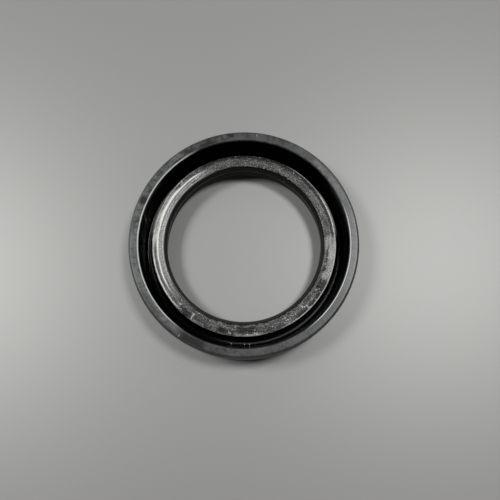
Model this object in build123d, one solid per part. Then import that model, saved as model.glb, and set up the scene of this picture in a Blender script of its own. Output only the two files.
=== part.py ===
from build123d import *
from math import radians, tan
import os

# Rubber-covered radial shaft seal with a dust lip: 35 mm shaft, 50 mm housing bore,
# 10 mm wide. Millimetres. +Z is the seal's axis and points to the oil side, where the
# garter spring shows. The origin is the centre of the flat air-side face. Every piece is
# turned about +Z, so each is drawn as half a section: radius across, height up.

# What the seal fits
shaft_diameter = 35.0
radial_section = 7.5  # from the shaft out to the housing bore, which is 50 mm
seal_width = 10.0
housing_squeeze = 0.25  # the free rubber is this much larger than the bore, on diameter
shaft_squeeze = 1.0  # the free sealing edge is this much smaller than the shaft, on diameter
dust_lip_gap = 0.1  # the dust lip is this much larger than the shaft, on diameter

# Outer wall: a rubber-covered cylinder that is pressed into the housing
rim_wall = 2.25  # across the oil-side rim
channel_draft = 5.5  # degrees that the wall leans inwards towards the channel's floor
lead_in_length = 1.0
lead_in_depth = 0.45
foot_chamfer_length = 1.0
foot_chamfer_depth = 0.5
edge_round = 0.15
rim_inner_round = 0.3
outer_corner_round = 0.4
channel_corner_round = 0.2
floor_width = 0.85  # the flat floor of the channel, from the wall in to the root of the neck

# Steel case, an L-section ring of pressed sheet, bonded inside the rubber
sheet_thickness = 0.8
sheet_bend = 0.5  # inside radius
web_stand_off = 1.2  # from the outside of the neck out to the edge of the web
outer_cover = 0.85  # rubber over the outside of the case
rim_cover = 0.8  # rubber over its free edge
foot_cover = 0.45  # rubber under its web
floor_cover = 0.3  # rubber over its web, which is the channel's floor

# Air-side face: two narrow rings stand round a shallow recess
foot_stand_off = 0.8  # from the root of the dust lip out to the foot's inner edge
outer_ring_width = 1.2
inner_ring_width = 1.2
recess_depth = 0.15

# Garter spring, a closed ring of close-wound wire, drawn as the tube that its turns fill
coil_diameter = 2.0
coil_stand_off = 2.95  # from the sealing edge out to the middle of the coil
coil_set_back = 0.5  # from the sealing edge to the middle of the coil, towards the air side
coil_play = 0.05  # all round, between the coil and its groove

# Sealing lip
edge_height = 5.5  # from the air-side face up to the sealing edge
land_length = 0.25  # the narrow band of the edge that touches the shaft
head_rise = 1.8  # from the sealing edge up to the ridge on top of the head
ridge_inset = 2.0  # from the sealing edge out to the ridge
ridge_round = 0.4
shoulder_fall = 0.15  # from the ridge down to the outside of the head
nose_reach = 0.75  # from the sealing edge out to the nose
nose_fall = 0.2  # from the ridge down to the nose
spring_wrap = 0.33  # how far the head reaches past the middle of the coil
groove_wall = 0.35  # rubber under the groove
shoulder_angle = 45.0  # slope of the head's underside
air_angle = 27.0  # slope of the lip's air side, from the seal's axis

# Flexing neck that carries the lip: it rises from the floor as a cone and is thinnest at
# its waist, under the head
neck_set_back = 1.5  # from the sealing edge out to the inside of the neck
neck_thickness = 1.0  # at the waist
neck_bend_round = 0.5
neck_root_round = 0.5

# Dust lip
dust_tip_height = 0.5
dust_tip_thickness = 0.25
dust_top_angle = 40.0  # slope of its top, from the air-side face
dust_under_angle = 16.0  # slope of its underside
dust_root_set_back = 0.25  # from the inside of the neck out to the root of its underside
dust_root_round = 0.3

# Sizes that follow
outer_radius = shaft_diameter / 2 + radial_section + housing_squeeze / 2
edge_radius = (shaft_diameter - shaft_squeeze) / 2
dust_radius = (shaft_diameter + dust_lip_gap) / 2
neck_inside = edge_radius + neck_set_back
neck_outside = neck_inside + neck_thickness
case_outside = outer_radius - outer_cover
case_inside = case_outside - sheet_thickness
web_edge = neck_outside + web_stand_off
web_top = foot_cover + sheet_thickness
floor_height = web_top + floor_cover
coil_radius = coil_diameter / 2
coil_centre = edge_radius + coil_stand_off
coil_height = edge_height - coil_set_back
groove_radius = coil_radius + coil_play


def ring(outline, rounds):
    """One closed section, with each corner rounded as listed."""
    return make_face(FilletPolyline(*outline, radius=rounds, close=True))


def turned(section):
    """The solid that a half section makes in one turn about the seal's axis."""
    return revolve(Plane.XZ * section, axis=Axis.Z)


def case_section():
    """The case: a straight wall, one pressed bend and a flat web."""
    case_top = seal_width - rim_cover
    corners = [
        ((case_outside, case_top), 0),
        ((case_inside, case_top), 0),
        ((case_inside, web_top), sheet_bend),
        ((web_edge, web_top), 0),
        ((web_edge, foot_cover), 0),
        ((case_outside, foot_cover), sheet_bend + sheet_thickness),
    ]
    return ring([point for point, _ in corners], [corner for _, corner in corners])


def rubber_section():
    """The moulding round the case: outer wall, channel, sealing lip, neck and dust lip."""
    rim_inside = outer_radius - rim_wall
    channel_corner = rim_inside - (seal_width - floor_height) * tan(radians(channel_draft))

    head_outside = coil_centre + spring_wrap
    head_top = edge_height + head_rise
    head_bottom = coil_height - groove_radius - groove_wall
    waist_height = head_bottom - (head_outside - neck_outside) * tan(radians(shoulder_angle))
    outside_bend = min(neck_bend_round, 0.6 * (head_outside - neck_outside))
    neck_root = channel_corner - floor_width
    neck_foot = edge_height - land_length / 2 - neck_set_back / tan(radians(air_angle))

    dust_tip_top = dust_tip_height + dust_tip_thickness
    dust_root = dust_tip_top + (neck_inside - dust_radius) * tan(radians(dust_top_angle))
    inside_bend = min(neck_bend_round, 0.6 * (neck_foot - dust_root))
    dust_bend = min(dust_root_round, 0.6 * (neck_foot - dust_root))
    under_root = neck_inside + dust_root_set_back
    under_height = dust_tip_height + (under_root - dust_radius) * tan(radians(dust_under_angle))
    foot_inside = under_root + foot_stand_off
    foot_outside = outer_radius - foot_chamfer_depth
    recess_outside = foot_outside - outer_ring_width
    recess_inside = foot_inside + inner_ring_width

    corners = [
        # outside of the wall and the rim
        ((foot_outside, 0), edge_round),
        ((outer_radius, foot_chamfer_length), outer_corner_round),
        ((outer_radius, seal_width - lead_in_length), outer_corner_round),
        ((outer_radius - lead_in_depth, seal_width), edge_round),
        ((rim_inside, seal_width), rim_inner_round),
        # channel between the wall and the neck
        ((channel_corner, floor_height), channel_corner_round),
        ((neck_root, floor_height), neck_root_round),
        ((neck_outside, waist_height), outside_bend),
        # head of the sealing lip, where the spring's groove is cut
        ((head_outside, head_bottom), edge_round),
        ((head_outside, head_top - shoulder_fall), edge_round),
        ((edge_radius + ridge_inset, head_top), ridge_round),
        ((edge_radius + nose_reach, head_top - nose_fall), 0),
        ((edge_radius, edge_height + land_length / 2), 0),
        ((edge_radius, edge_height - land_length / 2), 0),
        ((neck_inside, neck_foot), inside_bend),
        # dust lip
        ((neck_inside, dust_root), dust_bend),
        ((dust_radius, dust_tip_top), 0),
        ((dust_radius, dust_tip_height), 0),
        ((under_root, under_height), dust_root_round),
        # air-side face
        ((foot_inside, 0), edge_round),
        ((recess_inside - recess_depth, 0), 0),
        ((recess_inside, recess_depth), 0),
        ((recess_outside, recess_depth), 0),
        ((recess_outside + recess_depth, 0), 0),
    ]
    moulding = ring([point for point, _ in corners], [corner for _, corner in corners])
    groove = Pos(coil_centre, coil_height) * Circle(groove_radius)
    return moulding - groove - case_section()


def garter_spring():
    """The ring that the spring's turns fill."""
    coil = Pos(coil_centre, coil_height) * Circle(coil_radius)
    return turned(coil)


os.makedirs("parts", exist_ok=True)
export_step(turned(rubber_section()), "parts/rubber_body.step")
export_step(turned(case_section()), "parts/steel_case.step")
export_step(garter_spring(), "parts/garter_spring.step")
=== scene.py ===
import math

import bpy
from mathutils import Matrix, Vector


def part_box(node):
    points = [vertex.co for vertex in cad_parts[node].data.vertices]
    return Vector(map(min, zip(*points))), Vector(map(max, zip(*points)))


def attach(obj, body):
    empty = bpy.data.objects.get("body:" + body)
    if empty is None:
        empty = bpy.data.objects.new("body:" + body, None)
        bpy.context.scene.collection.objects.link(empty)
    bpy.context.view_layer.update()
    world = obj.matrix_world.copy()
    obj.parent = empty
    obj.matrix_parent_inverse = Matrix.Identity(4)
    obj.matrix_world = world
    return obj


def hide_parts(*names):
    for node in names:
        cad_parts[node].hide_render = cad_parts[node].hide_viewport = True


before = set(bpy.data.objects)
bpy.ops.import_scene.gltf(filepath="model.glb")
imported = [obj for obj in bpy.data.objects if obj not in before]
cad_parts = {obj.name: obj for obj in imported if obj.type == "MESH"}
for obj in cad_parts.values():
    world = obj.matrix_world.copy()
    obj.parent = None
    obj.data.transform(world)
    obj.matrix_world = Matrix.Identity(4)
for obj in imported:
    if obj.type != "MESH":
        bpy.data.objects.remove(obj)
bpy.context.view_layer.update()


# Camera. The seal lies on a table with its spring side up and is seen from about 150 mm
# above, leaning a little to the near side. The frame is square.
camera_data = bpy.data.cameras.new("camera")
camera_data.sensor_width = 36
camera_data.lens = 50.4
camera_data.clip_start = 0.01
camera = bpy.data.objects.new("camera", camera_data)
camera.location = (0.00286, -0.02891, 0.15855)
camera.rotation_euler = (math.radians(10.315), math.radians(0.564), 0)
bpy.context.scene.collection.objects.link(camera)
bpy.context.scene.camera = camera


# Steel case. An L-section ring pressed from 0.8 mm mild steel strip. It is phosphated so
# that the rubber bonds to it, and the rubber is then moulded all round it.
MM = 0.001  # metres in a millimetre


def srgb(colour):
    """A '#rrggbb' colour as linear RGBA."""
    channels = [int(colour[i:i + 2], 16) / 255 for i in (1, 3, 5)]
    linear = [c / 12.92 if c <= 0.04045 else ((c + 0.055) / 1.055) ** 2.4 for c in channels]
    return (*linear, 1.0)


def fill(tree, node, inputs):
    """Sets a node's inputs. A socket is linked, and so is the first output of another node."""
    for name, value in inputs.items():
        if isinstance(value, bpy.types.Node):
            value = value.outputs[0]
        if isinstance(value, bpy.types.NodeSocket):
            tree.links.new(value, node.inputs[name])
        else:
            node.inputs[name].default_value = value


def add(tree, kind, inputs=None, **settings):
    """Adds one node, with its settings and with its inputs as fill() takes them."""
    node = tree.nodes.new(kind)
    for name, value in settings.items():
        setattr(node, name, value)
    fill(tree, node, inputs or {})
    return node


def new_finish(name):
    """A new material with its node tree and its shader."""
    material = bpy.data.materials.new(name)
    material.use_nodes = True
    tree = material.node_tree
    return material, tree, tree.nodes["Principled BSDF"]


def phosphated_steel():
    """Zinc-phosphated strip: a matt brown-grey crystal coat that keeps a dull metal sheen."""
    material, tree, shader = new_finish("phosphated_pressed_steel")
    place = add(tree, "ShaderNodeTexCoord").outputs["Object"]
    # The real crystals are about 0.01 mm, too fine to show, so they are drawn coarser.
    crystal_size = 0.15 * MM
    cloud_size = 3 * MM
    crystals = add(tree, "ShaderNodeTexVoronoi", {"Vector": place, "Scale": 1 / crystal_size})
    clouds = add(tree, "ShaderNodeTexNoise", {"Vector": place, "Scale": 1 / cloud_size})
    clouded = add(tree, "ShaderNodeMath", {0: crystals, 1: clouds}, operation="MULTIPLY")
    coat = add(tree, "ShaderNodeValToRGB", {"Fac": clouded})
    coat.color_ramp.elements[0].color = srgb("#4c4a47")
    coat.color_ramp.elements[1].color = srgb("#8b8780")
    relief = add(tree, "ShaderNodeBump", {"Height": crystals, "Strength": 0.3, "Distance": 0.01 * MM})
    fill(tree, shader, {"Base Color": coat, "Metallic": 0.7, "Roughness": 0.55, "Normal": relief})
    return material


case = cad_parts["steel_case"]
case.data.materials.clear()
case.data.materials.append(phosphated_steel())


# Rubber moulding. Nitrile rubber, moulded in one shot round the case: the outer wall, the
# channel, the sealing lip on its thin neck, and the dust lip. The top of the sealing lip is
# trimmed with a knife after moulding, and the spring's channel is left wet with oil.
rubber_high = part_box("rubber_body")[1]
spring_low, spring_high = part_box("garter_spring")
case_low, case_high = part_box("steel_case")
cad_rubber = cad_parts["rubber_body"].data
outer_radius = rubber_high.x / MM
seal_width = rubber_high.z / MM
edge_radius = min(math.hypot(v.co.x, v.co.y) for v in cad_rubber.vertices) / MM
coil_radius = (spring_high.z - spring_low.z) / 2 / MM
coil_centre = spring_high.x / MM - coil_radius
coil_height = (spring_high.z + spring_low.z) / 2 / MM
case_outside = case_high.x / MM
case_top = case_high.z / MM
case_foot = case_low.z / MM

# the wall, its rim and the channel, in millimetres
rim_wall = 2.25
channel_draft = math.radians(5.5)
sheet_thickness = 0.8
sheet_bend = 0.5
floor_cover = 0.3  # rubber over the case's web
floor_height = case_foot + sheet_thickness + floor_cover
floor_width = 0.85
lead_in_length = 1.0
lead_in_depth = 0.45
foot_chamfer_length = 1.0
foot_chamfer_depth = 0.5
edge_round = 0.15
rim_inner_round = 0.3
outer_corner_round = 0.4
channel_corner_round = 0.2
ring_width = 1.2
recess_depth = 0.15
oil_line = 0.4  # the oil on the channel's wall ends this far below the rim
oil_line_inset = 0.04  # and this far in from the rim's corner, on the wall's slope
rim_inside = outer_radius - rim_wall
rim_outside = outer_radius - lead_in_depth
channel_corner = rim_inside - (seal_width - floor_height) * math.tan(channel_draft)
foot_outside = outer_radius - foot_chamfer_depth

# the sealing lip and its neck
coil_set_back = 0.5
edge_height = coil_height + coil_set_back
land_length = 0.25
ridge_radius = edge_radius + 2.0
ridge_height = edge_height + 1.8
ridge_round = 0.4
nose_radius = edge_radius + 0.75
nose_fall = 0.2
shoulder_fall = 0.15
spring_wrap = 0.33
coil_play = 0.05
groove_radius = coil_radius + coil_play
groove_wall = 0.35
neck_inside = edge_radius + 1.5
neck_outside = neck_inside + 1.0
neck_bend_round = 0.45
neck_root = channel_corner - floor_width
neck_root_round = 0.5
web_edge = neck_outside + 1.2
air_angle = math.radians(27)
head_outside = coil_centre + spring_wrap
head_bottom = coil_height - groove_radius - groove_wall
waist_height = head_bottom - (head_outside - neck_outside)
neck_foot = edge_height - land_length / 2 - (neck_inside - edge_radius) / math.tan(air_angle)

# the dust lip and the foot
dust_radius = edge_radius + 0.55
dust_top_angle = math.radians(40)
dust_under_angle = math.radians(16)
dust_tip_height = 0.5
dust_tip_thickness = 0.25
dust_tip_top = dust_tip_height + dust_tip_thickness
dust_root = dust_tip_top + (neck_inside - dust_radius) * math.tan(dust_top_angle)
dust_root_round = 0.3
under_root = neck_inside + 0.25
under_height = dust_tip_height + (under_root - dust_radius) * math.tan(dust_under_angle)
foot_inside = under_root + 0.8


def arc(centre, radius, start, end, count):
    """Points on an arc from start to end, in radians."""
    angles = [start + (end - start) * k / count for k in range(count + 1)]
    return [(centre[0] + radius * math.cos(a), centre[1] + radius * math.sin(a)) for a in angles]


def rounded(corners, step=math.radians(15)):
    """Points of a closed outline with its corners rounded, each with its run's finish."""
    points = []
    for i, (corner, radius, spacing, finish) in enumerate(corners):
        if not radius:
            points.append((corner[0], corner[1], finish, spacing))
            continue
        before = corners[i - 1][0]
        after = corners[(i + 1) % len(corners)][0]
        start = math.atan2(before[1] - corner[1], before[0] - corner[0])
        end = math.atan2(after[1] - corner[1], after[0] - corner[0])
        opening = (end - start + math.pi) % (2 * math.pi) - math.pi
        reach = radius / math.tan(abs(opening) / 2)
        to_centre = radius / math.sin(abs(opening) / 2)
        middle = start + opening / 2
        centre = (corner[0] + to_centre * math.cos(middle), corner[1] + to_centre * math.sin(middle))
        first = math.atan2(corner[1] + reach * math.sin(start) - centre[1],
                           corner[0] + reach * math.cos(start) - centre[0])
        turn = math.copysign(math.pi - abs(opening), opening)
        count = max(2, math.ceil(abs(turn) / step))
        for x, z in arc(centre, radius, first, first - turn, count):
            points.append((x, z, finish, spacing))
    filled = []
    for i, (x, z, finish, spacing) in enumerate(points):
        next_x, next_z = points[(i + 1) % len(points)][:2]
        parts = max(1, math.ceil(math.hypot(next_x - x, next_z - z) / spacing))
        for k in range(parts):
            filled.append((x + (next_x - x) * k / parts, z + (next_z - z) * k / parts, finish))
    return filled


# Each corner has its place, its round, the spacing of points after it and the finish there.
MOULDED, OILED, TRIMMED = range(3)
COARSE, MEDIUM, FINE = 1.2, 0.4, 0.25
groove_mouth = math.atan2(-math.sqrt(groove_radius ** 2 - spring_wrap ** 2), spring_wrap)
groove = arc((coil_centre, coil_height), groove_radius, groove_mouth, -2 * math.pi - groove_mouth,
             count=14)
section = [
    ((foot_outside, 0), edge_round, COARSE, MOULDED),
    ((outer_radius, foot_chamfer_length), outer_corner_round, COARSE, MOULDED),
    ((outer_radius, seal_width - lead_in_length), outer_corner_round, COARSE, MOULDED),
    ((rim_outside, seal_width), edge_round, MEDIUM, MOULDED),
    ((rim_inside, seal_width), rim_inner_round, COARSE, MOULDED),
    ((rim_inside - oil_line_inset, seal_width - oil_line), 0, COARSE, OILED),
    ((channel_corner, floor_height), channel_corner_round, COARSE, OILED),
    ((neck_root, floor_height), neck_root_round, COARSE, OILED),
    ((neck_outside, waist_height), neck_bend_round, COARSE, OILED),
    ((head_outside, head_bottom), edge_round, COARSE, OILED),
    *((point, 0, COARSE, OILED) for point in groove),
    ((head_outside, ridge_height - shoulder_fall), edge_round, FINE, TRIMMED),
    ((ridge_radius, ridge_height), ridge_round, FINE, TRIMMED),
    ((nose_radius, ridge_height - nose_fall), 0, MEDIUM, OILED),
    ((edge_radius, edge_height + land_length / 2), 0, COARSE, OILED),
    ((edge_radius, edge_height - land_length / 2), 0, COARSE, OILED),
    ((neck_inside, neck_foot), neck_bend_round, COARSE, MOULDED),
    ((neck_inside, dust_root), dust_root_round, COARSE, MOULDED),
    ((dust_radius, dust_tip_top), 0, COARSE, MOULDED),
    ((dust_radius, dust_tip_height), 0, COARSE, MOULDED),
    ((under_root, under_height), dust_root_round, COARSE, MOULDED),
    ((foot_inside, 0), edge_round, COARSE, MOULDED),
    ((foot_inside + ring_width - recess_depth, 0), 0, COARSE, MOULDED),
    ((foot_inside + ring_width, recess_depth), 0, COARSE, MOULDED),
    ((foot_outside - ring_width, recess_depth), 0, COARSE, MOULDED),
    ((foot_outside - ring_width + recess_depth, 0), 0, COARSE, MOULDED),
]
case_inside = case_outside - sheet_thickness
web_top = case_foot + sheet_thickness
case_hollow = [
    ((case_outside, case_foot), sheet_bend + sheet_thickness, COARSE, MOULDED),
    ((web_edge, case_foot), 0, COARSE, MOULDED),
    ((web_edge, web_top), 0, COARSE, MOULDED),
    ((case_inside, web_top), sheet_bend, COARSE, MOULDED),
    ((case_inside, case_top), 0, COARSE, MOULDED),
    ((case_outside, case_top), 0, COARSE, MOULDED),
]


def turned(name, outlines):
    """A smooth mesh of closed outlines turned about Z, each with its number of segments."""
    vertices, faces, finishes = [], [], []
    for outline, segments in outlines:
        base = len(vertices)
        count = len(outline)
        for s in range(segments):
            angle = 2 * math.pi * s / segments
            for x, z, _ in outline:
                vertices.append((x * MM * math.cos(angle), x * MM * math.sin(angle), z * MM))
            near = base + s * count
            far = base + (s + 1) % segments * count
            for p, (_, _, finish) in enumerate(outline):
                q = (p + 1) % count
                faces.append((near + p, far + p, far + q, near + q))
                finishes.append(finish)
    mesh = bpy.data.meshes.new(name)
    mesh.from_pydata(vertices, [], faces)
    mesh.polygons.foreach_set("material_index", finishes)
    mesh.shade_smooth()
    return mesh


def seal_place(tree, raggedness):
    """A point's direction and its radius in mm, shaken so that marks get ragged edges."""
    place = add(tree, "ShaderNodeTexCoord").outputs["Object"]
    shake_size = 0.9 * MM
    across = add(tree, "ShaderNodeVectorMath", {0: place, 1: (1 / MM, 1 / MM, 0)}, operation="MULTIPLY")
    shake = add(tree, "ShaderNodeTexNoise",
                {"Vector": place, "Scale": 1 / shake_size, "Detail": 4, "Roughness": 0.65})
    shaken = add(tree, "ShaderNodeVectorMath",
                 {0: shake.outputs["Color"], 1: (raggedness,) * 3, 2: across}, operation="MULTIPLY_ADD")
    evened = add(tree, "ShaderNodeVectorMath", {0: shaken, 1: (raggedness / 2, raggedness / 2, 0)},
                 operation="SUBTRACT")
    flat = add(tree, "ShaderNodeVectorMath", {0: evened, 1: (1, 1, 0)}, operation="MULTIPLY")
    radius = add(tree, "ShaderNodeVectorMath", {0: flat}, operation="LENGTH").outputs["Value"]
    direction = add(tree, "ShaderNodeVectorMath", {0: flat}, operation="NORMALIZE")
    return direction, radius


def seal_height(tree):
    """A point's height in mm."""
    place = add(tree, "ShaderNodeTexCoord").outputs["Object"]
    upright = add(tree, "ShaderNodeSeparateXYZ", {"Vector": place}).outputs["Z"]
    return add(tree, "ShaderNodeMath", {0: upright, 1: MM}, operation="DIVIDE")


def risen(tree, pattern, start, end, within=1):
    """How far a pattern has risen from the start to the end, with a soft step, within a mark."""
    share = add(tree, "ShaderNodeMapRange", {"Value": pattern, "From Min": start, "From Max": end},
                interpolation_type="SMOOTHSTEP")
    return add(tree, "ShaderNodeMath", {0: share, 1: within}, operation="MULTIPLY")


def marks(tree, direction, radius, spans, soft_degrees=2.5, soft_mm=0.12):
    """How much a point lies in any span: its middle and width in degrees, then its radii in mm."""
    total = 0
    for middle, width, inner, outer in spans:
        toward = (math.cos(math.radians(middle)), math.sin(math.radians(middle)), 0)
        along = add(tree, "ShaderNodeVectorMath", {0: direction, 1: toward}, operation="DOT_PRODUCT")
        ends = min(soft_degrees, width / 3)
        outside = math.cos(math.radians(width / 2 + ends))
        inside = math.cos(math.radians(width / 2 - ends))
        turn = risen(tree, along.outputs["Value"], outside, inside)
        above = risen(tree, radius, inner - soft_mm, inner + soft_mm, within=turn)
        span = risen(tree, radius, outer + soft_mm, outer - soft_mm, within=above)
        total = add(tree, "ShaderNodeMath", {0: total, 1: span}, operation="MAXIMUM")
    return total


def streaks(tree, direction, radius, along, across):
    """Noise drawn out to blotches that many mm long round the axis and wide across the section."""
    outline = add(tree, "ShaderNodeMath", {0: radius, 1: seal_height(tree)}, operation="ADD")
    row = add(tree, "ShaderNodeMath", {0: outline, 1: across}, operation="DIVIDE")
    upward = add(tree, "ShaderNodeCombineXYZ", {"Z": row})
    turns = ridge_radius / along
    point = add(tree, "ShaderNodeVectorMath", {0: direction, 1: (turns, turns, 0), 2: upward},
                operation="MULTIPLY_ADD")
    return add(tree, "ShaderNodeTexNoise", {"Vector": point, "Scale": 1, "Detail": 3})


def specks(tree, spacing, size, share):
    """Small ragged crumbs of dust: one in each cell of the spacing, of which a share is kept."""
    place = add(tree, "ShaderNodeTexCoord").outputs["Object"]
    bends = add(tree, "ShaderNodeTexNoise", {"Vector": place, "Scale": 1 / (0.6 * size * MM)})
    bent = add(tree, "ShaderNodeVectorMath",
               {0: bends.outputs["Color"], 1: (size * MM,) * 3, 2: place}, operation="MULTIPLY_ADD")
    cells = add(tree, "ShaderNodeTexVoronoi", {"Vector": bent, "Scale": 1 / (spacing * MM)})
    near = add(tree, "ShaderNodeMath", {0: cells, 1: size / spacing / 2}, operation="LESS_THAN")
    pick = add(tree, "ShaderNodeSeparateColor", {"Color": cells.outputs["Color"]})
    kept = add(tree, "ShaderNodeMath", {0: pick, 1: share}, operation="LESS_THAN")
    return add(tree, "ShaderNodeMath", {0: near, 1: kept}, operation="MULTIPLY")


def summed(tree, base, *parts):
    """A value plus some patterns, each times its weight."""
    for pattern, weight in parts:
        base = add(tree, "ShaderNodeMath", {0: pattern, 1: weight, 2: base}, operation="MULTIPLY_ADD")
    return base


def coated(tree, colour, coats):
    """A colour with others laid over it in turn, each as far as its mark reaches."""
    for mark, coat in coats:
        colour = add(tree, "ShaderNodeMix", {0: mark, 6: colour, 7: coat}, data_type="RGBA").outputs[2]
    return colour


def mottled(tree, pattern, start, end, dark, pale):
    """A colour that turns from dark to pale while a pattern rises from the start to the end."""
    return coated(tree, srgb(dark), [(risen(tree, pattern, start, end), srgb(pale))])


def moulded_rubber():
    """Moulded nitrile rubber: satin black with a thin grey bloom, wiped off in a few smudges."""
    material, tree, shader = new_finish("moulded_nitrile_rubber")
    direction, radius = seal_place(tree, 0.8)
    height = seal_height(tree)
    place = add(tree, "ShaderNodeTexCoord").outputs["Object"]

    # The bloom is even on the wall and patchy near the rim, where the seal is handled. Its own
    # grain and the mould's are about 0.02 mm, too fine to show, so both are drawn coarser.
    bloom_grain = 0.3 * MM
    mould_grain = 0.08 * MM
    even_bloom = 0.35
    handled_from = seal_width - 2
    handled_to = seal_width - 0.5
    dull = add(tree, "ShaderNodeTexNoise", {"Vector": place, "Scale": 1 / bloom_grain, "Detail": 2})
    bloom = summed(tree, 0, (streaks(tree, direction, radius, 2.5, 2), 0.3),
                   (streaks(tree, direction, radius, 0.5, 0.9), 0.45), (dull, 0.25))
    patchy = risen(tree, bloom, 0.38, 0.61)
    handled = risen(tree, height, handled_from, handled_to)
    contrast = summed(tree, 0.35, (handled, 0.65))
    uneven = summed(tree, -even_bloom, (patchy, 1))
    cloud = add(tree, "ShaderNodeMath", {0: uneven, 1: contrast, 2: even_bloom},
                operation="MULTIPLY_ADD")

    # Smudges and dirt on the rim, and a painted sheen on its east and west sides, none of them on the
    # foot below it.
    rim_bottom = seal_width - 1.5
    rim_face = add(tree, "ShaderNodeMath", {0: height, 1: rim_bottom}, operation="GREATER_THAN")
    rim_radius = add(tree, "ShaderNodeMath", {0: radius, 1: rim_face}, operation="MULTIPLY")
    smudges = marks(tree, direction, rim_radius, [
        (-117, 14, 23.2, 24.6),
        (157, 4, 23.1, 24.5),
        (128, 6, 23.0, 23.5),
        (121, 5, 23.2, 24.2),
        (110, 9, 23.1, 24.6),
        (97, 3, 23.6, 24.6),
    ])
    # Painted sheen: pale patches on the rim's east and west sides, where the lamps shine on it, mottled
    # by the bloom.
    pale = marks(tree, direction, rim_radius, [
        (165, 86, 23.1, 24.6),
        (-4, 40, 23.2, 24.6),
        (37, 24, 23.1, 24.3),
        (190, 66, 23.1, 23.6),
        (-134, 10, 23.3, 24.2),
    ], soft_degrees=6)
    bloom_and_painted_sheen = add(tree, "ShaderNodeMath", {0: pale, 1: cloud}, operation="MULTIPLY")
    dirt = marks(tree, direction, rim_radius, [
        (103, 8, 23.6, 24.7),
        (117, 12, 23.8, 24.7),
        (122, 5, 23.0, 23.5),
    ])
    soiled = add(tree, "ShaderNodeMath", {0: dirt, 1: cloud}, operation="MULTIPLY")

    # Fine lines, with less shake: a painted highlight with some wear along the rim's inner edge, its
    # wet stretch and two nicks.
    line_direction, line_radius = seal_place(tree, 0.1)
    rim_line = add(tree, "ShaderNodeMath", {0: line_radius, 1: rim_face}, operation="MULTIPLY")
    # A painted highlight, with some wear, on the rim's rounded inner edge to the east and west, where
    # the lamps glint.
    edge_wear_and_highlight = marks(tree, line_direction, rim_line, [
        (-16, 66, 23.1, 23.26),
        (176, 108, 22.86, 23.08),
    ], soft_degrees=8, soft_mm=0.05)
    wetted = marks(tree, line_direction, rim_line, [(-40, 116, 22.6, 23.02)], soft_degrees=8)
    nicks = marks(tree, line_direction, rim_line, [(83, 0.3, 23.9, 24.5), (-124, 0.3, 24.1, 24.6)])
    dust = add(tree, "ShaderNodeMath", {0: nicks, 1: specks(tree, 0.6, 0.1, 0.1)}, operation="MAXIMUM")

    pores = add(tree, "ShaderNodeTexNoise", {"Vector": place, "Scale": 1 / mould_grain, "Detail": 2})
    relief = add(tree, "ShaderNodeBump", {"Height": pores, "Strength": 1, "Distance": 0.003 * MM})
    colour = coated(tree, srgb("#1c1f1e"), [
        (cloud, srgb("#414543")),
        (bloom_and_painted_sheen, srgb("#5e6361")),
        (smudges, srgb("#100f0e")),
        (soiled, srgb("#4c4942")),
        (wetted, srgb("#0b0c0b")),
        (edge_wear_and_highlight, srgb("#dde1dd")),
        (dust, srgb("#a3a5a2")),
    ])
    fill(tree, shader, {
        "Base Color": colour,
        "Roughness": summed(tree, 0.31, (cloud, 0.06), (smudges, 0.2), (edge_wear_and_highlight, -0.1)),
        "Specular IOR Level": summed(tree, 0.5, (smudges, -0.22)),
        "Normal": relief,
    })
    return material


def oiled_rubber():
    """Oil-wet rubber: deep black that mirrors the lamps, with dust and painted light on the channel's
    floor.
    """
    material, tree, shader = new_finish("oiled_nitrile_rubber")
    direction, radius = seal_place(tree, 0.15)
    place = add(tree, "ShaderNodeTexCoord").outputs["Object"]
    film_waves = 2.5 * MM
    film = add(tree, "ShaderNodeTexNoise", {"Vector": place, "Scale": 1 / film_waves, "Detail": 3})
    # Dust on the channel's floor to the south-east and south, painted paler where the lamps' light
    # reaches the floor past the lip.
    floor_dust_and_light_span = marks(tree, direction, radius, [(-42, 36, 21.4, 21.6), (-80, 30, 21.4, 21.6)],
                    soft_degrees=12, soft_mm=0.15)
    floor_dust_and_light = add(tree, "ShaderNodeMath", {0: floor_dust_and_light_span, 1: streaks(tree, direction, radius, 0.5, 0.5)},
                    operation="MULTIPLY")
    # A painted highlight: a pale line along the nose's edge on the west, where the lamps glint.
    painted_nose_highlight = marks(tree, direction, radius, [(172, 116, nose_radius - 0.14, nose_radius + 0.1)],
                      soft_degrees=8, soft_mm=0.05)
    linty = marks(tree, direction, radius, [(-93, 18, 21.5, 21.85), (165, 3, 22.3, 22.7)])
    lint = add(tree, "ShaderNodeMath", {0: linty, 1: specks(tree, 0.42, 0.25, 0.6)},
               operation="MULTIPLY")
    dust = add(tree, "ShaderNodeMath", {0: specks(tree, 1.3, 0.2, 0.02), 1: lint}, operation="MAXIMUM")

    # The oil shines less over the silt on the channel's floor, at its wall and in the bore.
    soft_edge = 0.2
    silt = marks(tree, direction, radius, [(-45, 120, 20.3, 21.6)], soft_degrees=10)
    wall = risen(tree, radius, channel_corner - soft_edge, channel_corner)
    bore = risen(tree, radius, nose_radius, nose_radius - soft_edge)
    relief = add(tree, "ShaderNodeBump", {"Height": film, "Strength": 1, "Distance": 0.03 * MM})
    colour = coated(tree, srgb("#020202"), [
        (film, srgb("#070807")),
        (floor_dust_and_light, srgb("#5d5f5b")),
        (painted_nose_highlight, srgb("#7a7b76")),
        (dust, srgb("#dedcd5")),
    ])
    fill(tree, shader, {
        "Base Color": colour,
        "Roughness": summed(tree, 0.06, (film, 0.06), (wall, 0.12), (silt, 0.35)),
        "Specular IOR Level": summed(tree, 0.5, (bore, -0.22), (silt, -0.25)),
        "Normal": relief,
    })
    return material


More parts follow.
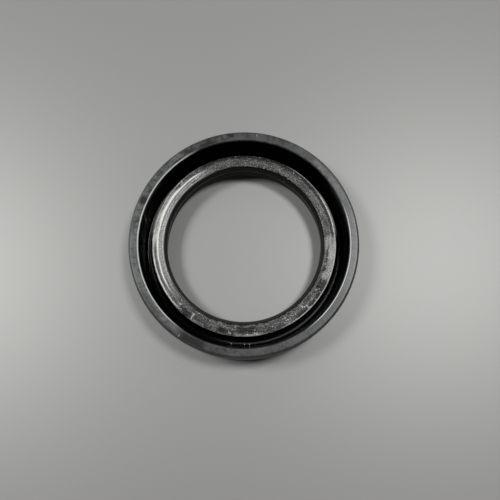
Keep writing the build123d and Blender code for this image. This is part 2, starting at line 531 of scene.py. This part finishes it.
def trimmed_rubber():
    """Knife-trimmed rubber: dull and speckled with dust where dry; under grease shining, with a painted
    sheen.
    """
    material, tree, shader = new_finish("knife_trimmed_nitrile_rubber")
    direction, radius = seal_place(tree, 1.2)
    place = add(tree, "ShaderNodeTexCoord").outputs["Object"]

    # Grease lies on the west side and in a few smears, and some patches were wiped bare.
    film = marks(tree, direction, radius, [
        (173, 78, 19.1, 20.14),
        (166, 104, 17.7, 19.2),
    ], soft_degrees=4)
    dry_film = marks(tree, direction, radius, [(172, 76, 19.5, 20.5)], soft_degrees=6)
    # Painted sheen: bright patches by the ridge on the west, where the lamps shine on the grease.
    painted_sheen_patches = marks(tree, direction, radius, [
        (163, 34, ridge_radius, ridge_radius + 0.9),
        (142, 46, 18.3, 18.75),
    ], soft_degrees=7)
    smears = marks(tree, direction, radius, [
        (-10, 29, 18.75, 20.5),
        (1, 8, 18.1, 19.3),
        (-22, 5, 18.5, 19.2),
        (-87, 17, 19.8, 20.5),
        (31, 16, 19.0, 19.1),
    ], soft_degrees=1, soft_mm=0.06)
    bare = marks(tree, direction, radius, [
        (-28.5, 8, 18.4, 20.2),
        (-40, 28, 19.45, 20.12),
        (-18.5, 3, 18.3, 19.1),
        (-8, 16, 18.4, 18.6),
        (-88, 12, 18.3, 19.4),
        (-104, 5, 18.9, 19.9),
        (-130, 9, 19.0, 20.2),
        (80, 76, 19.6, 20.5),
        (38, 5, 19.5, 20.1),
        (24, 46, 19.35, 19.85),
        (-70, 100, 17.6, 17.88),
    ])

    # Painted highlights along the ridge and along the top's outer and inner edges, where the lamps
    # glint, grooves round the face and scores across it.
    line_direction, line_radius = seal_place(tree, 0.25)
    painted_ridge_highlight = marks(tree, line_direction, line_radius, [
        (166, 88, ridge_radius - 0.17, ridge_radius + 0.1),
        (152, 22, ridge_radius - 0.17, ridge_radius + 0.32),
    ], soft_degrees=7, soft_mm=0.08)
    painted_edge_highlights = marks(tree, line_direction, line_radius, [
        (-30, 66, head_outside - 0.2, head_outside + 0.1),
        (28, 58, head_outside - 0.14, head_outside + 0.1),
        (20, 26, head_outside - 0.32, head_outside + 0.1),
        (-165, 56, head_outside - 0.32, head_outside - 0.2),
        (152, 36, head_outside - 0.32, head_outside - 0.22),
        (-155, 34, head_outside - 0.46, head_outside - 0.2),
        (-98, 80, head_outside - 0.03, head_outside + 0.1),
        (165, 84, nose_radius, nose_radius + 0.16),
    ], soft_degrees=7, soft_mm=0.05)
    grooves = marks(tree, line_direction, line_radius, [
        (-165, 32, 19.25, 19.65),
        (178, 98, 20.14, 20.6),
        (144, 24, 19.72, 19.84),
        (145, 42, 18.5, 18.65),
    ], soft_degrees=5, soft_mm=0.06)
    scored = marks(tree, direction, radius, [
        (-45, 0.7, 19.1, 20.1),
        (-38, 0.6, 19.8, 20.1),
        (-125, 0.8, 18.7, 20.1),
        (-136, 1, 18.8, 19.3),
        (134.5, 0.7, 19.5, 20.1),
        (39.5, 0.6, 18.3, 18.5),
    ], soft_mm=0.1)
    crumbly = marks(tree, direction, radius, [
        (-88, 22, 19.0, 20.4),
        (-50, 40, 18.5, 19.2),
        (-118, 8, 17.9, 18.3),
    ])
    heap = add(tree, "ShaderNodeMath", {0: crumbly, 1: specks(tree, 0.4, 0.26, 0.4)},
               operation="MULTIPLY")
    crumbs = add(tree, "ShaderNodeMath", {0: specks(tree, 0.45, 0.18, 0.16), 1: heap},
                 operation="MAXIMUM")

    # The grains of dust are under 0.05 mm, too fine to show, so they are drawn coarser.
    dust_grain = 0.26 * MM
    flecks = add(tree, "ShaderNodeTexNoise", {"Vector": place, "Scale": 1 / dust_grain, "Detail": 2})
    rings = streaks(tree, direction, radius, 3, 0.25)
    clouds = streaks(tree, direction, radius, 1.4, 0.9)
    dusted = summed(tree, 0, (clouds, 0.2), (rings, 0.3), (flecks, 0.5))
    drawn = summed(tree, 0, (flecks, 0.5), (rings, 0.5))
    relief = add(tree, "ShaderNodeBump", {"Height": flecks, "Strength": 1, "Distance": 0.008 * MM})

    dry = mottled(tree, dusted, 0.46, 0.6, "#050605", "#757772")
    wiped = mottled(tree, flecks, 0.5, 0.66, "#060706", "#454643")
    # The grease is painted pale, partly its own tone and partly a painted sheen of the lamps; the
    # patches laid over it are painted sheen.
    grease_and_sheen = mottled(tree, drawn, 0.43, 0.57, "#10110f", "#7c7d78")
    painted_sheen_colour = mottled(tree, drawn, 0.4, 0.55, "#686a65", "#b2b3ad")
    paste = mottled(tree, drawn, 0.44, 0.6, "#666863", "#a1a39d")
    colour = coated(tree, dry, [
        (bare, wiped),
        (film, coated(tree, grease_and_sheen, [(painted_sheen_patches, painted_sheen_colour)])),
        (risen(tree, drawn, 0.34, 0.42, within=smears), paste),
        (grooves, srgb("#1b1c1a")),
        (risen(tree, drawn, 0.3, 0.42, within=painted_ridge_highlight), srgb("#f0f1ea")),
        (risen(tree, flecks, 0.28, 0.42, within=painted_edge_highlights), srgb("#c9cbc5")),
        (scored, srgb("#a5a6a0")),
        (crumbs, srgb("#d2d3cd")),
    ])
    fill(tree, shader, {
        "Base Color": colour,
        "Roughness": summed(tree, 0.44, (film, -0.18), (painted_ridge_highlight, -0.06), (grooves, 0.14),
                            (dry_film, 0.14)),
        "Specular IOR Level": summed(tree, 0.5, (bare, -0.28)),
        "Normal": relief,
    })
    return material


segments = 640
hidden_segments = 96
rubber_mesh = turned("rubber_moulding", [(rounded(section), segments),
                                         (rounded(case_hollow), hidden_segments)])
for finish in (moulded_rubber(), oiled_rubber(), trimmed_rubber()):
    rubber_mesh.materials.append(finish)
rubber = bpy.data.objects.new("rubber_moulding", rubber_mesh)
bpy.context.scene.collection.objects.link(rubber)
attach(rubber, "root")
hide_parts("rubber_body")


# Garter spring. A close-wound coil of 0.48 mm spring wire, its two ends screwed together
# into a ring, which stretches over the lip's head and sits in the groove.
wire_diameter = 0.48
wire_radius = wire_diameter / 2
inner_radius = coil_centre - coil_radius + wire_radius  # of the wire's middle, nearest the axis
turn_pitch = 1.008 * wire_diameter  # on that circle, where the turns nearly touch


def garter_spring():
    """The coil's line, wound by its angle round the ring, swept by the wire."""
    tree = bpy.data.node_groups.new("garter_spring", "GeometryNodeTree")
    sizes = {
        "Ring Radius": ("NodeSocketFloat", coil_centre * MM),
        "Ring Height": ("NodeSocketFloat", coil_height * MM),
        "Coil Radius": ("NodeSocketFloat", (coil_radius - wire_radius) * MM),
        "Wire Radius": ("NodeSocketFloat", wire_radius * MM),
        "Turns": ("NodeSocketInt", int(2 * math.pi * inner_radius / turn_pitch)),
        "Points Each Turn": ("NodeSocketInt", 16),
        "Wire Sides": ("NodeSocketInt", 12),
        "Wire Finish": ("NodeSocketMaterial", None),
    }
    for name, (kind, value) in sizes.items():
        socket = tree.interface.new_socket(name, in_out="INPUT", socket_type=kind)
        if value is not None:
            socket.default_value = value
    tree.interface.new_socket("Geometry", in_out="OUTPUT", socket_type="NodeSocketGeometry")
    given = add(tree, "NodeGroupInput").outputs
    count = add(tree, "ShaderNodeMath", {0: given["Turns"], 1: given["Points Each Turn"]},
                operation="MULTIPLY")
    index = add(tree, "GeometryNodeInputIndex")
    share = add(tree, "ShaderNodeMath", {0: index, 1: count}, operation="DIVIDE")
    round_ring = add(tree, "ShaderNodeMath", {0: share, 1: 2 * math.pi}, operation="MULTIPLY")
    round_coil = add(tree, "ShaderNodeMath", {0: round_ring, 1: given["Turns"]}, operation="MULTIPLY")
    outward = add(tree, "ShaderNodeMath", {0: round_coil}, operation="COSINE")
    upward = add(tree, "ShaderNodeMath", {0: round_coil}, operation="SINE")
    radius = add(tree, "ShaderNodeMath", {0: outward, 1: given["Coil Radius"], 2: given["Ring Radius"]},
                 operation="MULTIPLY_ADD")
    height = add(tree, "ShaderNodeMath", {0: upward, 1: given["Coil Radius"], 2: given["Ring Height"]},
                 operation="MULTIPLY_ADD")
    position = add(tree, "ShaderNodeCombineXYZ", {"Z": height})
    for axis, wave in (("X", "COSINE"), ("Y", "SINE")):
        swing = add(tree, "ShaderNodeMath", {0: round_ring}, operation=wave)
        offset = add(tree, "ShaderNodeMath", {0: radius, 1: swing}, operation="MULTIPLY")
        fill(tree, position, {axis: offset})
    line = add(tree, "GeometryNodeMeshLine", {"Count": count})
    wound = add(tree, "GeometryNodeSetPosition", {"Geometry": line, "Position": position})
    curve = add(tree, "GeometryNodeMeshToCurve", {"Mesh": wound})
    closed = add(tree, "GeometryNodeSetSplineCyclic", {"Geometry": curve, "Cyclic": True})
    wire = add(tree, "GeometryNodeCurvePrimitiveCircle",
               {"Resolution": given["Wire Sides"], "Radius": given["Wire Radius"]})
    swept = add(tree, "GeometryNodeCurveToMesh", {"Curve": closed, "Profile Curve": wire})
    smooth = add(tree, "GeometryNodeSetShadeSmooth", {"Geometry": swept})
    real = add(tree, "GeometryNodeRealizeInstances", {"Geometry": smooth})
    finished = add(tree, "GeometryNodeSetMaterial",
                   {"Geometry": real, "Material": given["Wire Finish"]})
    add(tree, "NodeGroupOutput", {0: finished})
    return tree


def spring_wire():
    """Drawn spring wire, black with oil, with painted glints: pale turns on two stretches,
    west-northwest and east-northeast.
    """
    material, tree, shader = new_finish("drawn_spring_wire")
    direction, radius = seal_place(tree, 1.5)
    # Painted highlight: the turns on these two stretches are painted pale and dull, standing in for the
    # glints of the coil's turns.
    dry = marks(tree, direction, radius, [(157, 28, 20.3, 22), (22, 26, 20.3, 22)], soft_degrees=7)
    place = add(tree, "ShaderNodeTexCoord").outputs["Object"]
    oil_patches = 0.8 * MM
    oil = add(tree, "ShaderNodeTexNoise", {"Vector": place, "Scale": 1 / oil_patches, "Detail": 3})
    wet = mottled(tree, oil, 0.4, 0.65, "#1b1a18", "#3d3b38")
    fill(tree, shader, {
        "Base Color": coated(tree, wet, [(dry, srgb("#cfcdc6"))]),
        "Metallic": summed(tree, 1, (dry, -1)),
        "Roughness": summed(tree, 0.16, (dry, 0.18)),
    })
    return material


def plain_mesh(tree, name, inputs):
    """An object with the mesh that a node tree makes, with no modifier left."""
    carrier = bpy.data.objects.new(name, bpy.data.meshes.new(name))
    bpy.context.scene.collection.objects.link(carrier)
    modifier = carrier.modifiers.new(name, "NODES")
    modifier.node_group = tree
    for item in tree.interface.items_tree:
        if item.name in inputs:
            modifier[item.identifier] = inputs[item.name]
    shown = carrier.evaluated_get(bpy.context.evaluated_depsgraph_get())
    made = bpy.data.meshes.new_from_object(shown)
    carrier.modifiers.clear()
    carrier.data = made
    return carrier


spring = plain_mesh(garter_spring(), "garter_spring_turns", {"Wire Finish": spring_wire()})
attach(spring, "root")
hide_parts("garter_spring")


# Table and lights. A pale table top, two small softboxes high up to the east and west, three
# dim large ones low round the seal, and a faint even light from all sides.
def pale_lacquer():
    """Pale satin lacquer with a faint metal sheen, in which the softboxes show as wide pools."""
    material, tree, shader = new_finish("pale_table")
    fill(tree, shader, {"Base Color": srgb("#9a9a97"), "Metallic": 0.2, "Roughness": 0.42})
    return material


reach = 1.5
corners = [(-reach, -reach, 0), (reach, -reach, 0), (reach, reach, 0), (-reach, reach, 0)]
table_mesh = bpy.data.meshes.new("table")
table_mesh.from_pydata(corners, [], [(0, 1, 2, 3)])
table_mesh.materials.append(pale_lacquer())
table = bpy.data.objects.new("table", table_mesh)
bpy.context.scene.collection.objects.link(table)

lamp_distance = 0.9


def lamp(name, east, north, width, length, brightness):
    """A rectangular softbox that faces the seal, east and north of straight up by degrees."""
    data = bpy.data.lights.new(name, "AREA")
    data.shape = "RECTANGLE"
    data.size = width
    data.size_y = length
    data.energy = brightness * math.pi * width * length
    softbox = bpy.data.objects.new(name, data)
    x, y = math.tan(math.radians(east)), math.tan(math.radians(north))
    scale = lamp_distance / math.sqrt(x * x + y * y + 1)
    softbox.location = (x * scale, y * scale, scale)
    softbox.rotation_euler = softbox.location.to_track_quat("Z", "Y").to_euler()
    bpy.context.scene.collection.objects.link(softbox)


lamp("ceiling_lamp_east", east=17, north=9, width=0.18, length=0.18, brightness=31)
lamp("ceiling_lamp_west", east=-29, north=8, width=0.22, length=0.22, brightness=23)
lamp("window_west", east=-58, north=22, width=0.3, length=0.6, brightness=0.9)
lamp("window_east", east=60, north=5, width=0.3, length=0.6, brightness=0.9)
lamp("window_north", east=-3, north=45, width=0.4, length=0.3, brightness=0.9)

world = bpy.data.worlds.new("studio")
bpy.context.scene.world = world
world.use_nodes = True
background = world.node_tree.nodes["Background"]
fill(world.node_tree, background, {"Color": srgb("#ffffff"), "Strength": 0.04})

bpy.context.scene.view_settings.view_transform = "Standard"
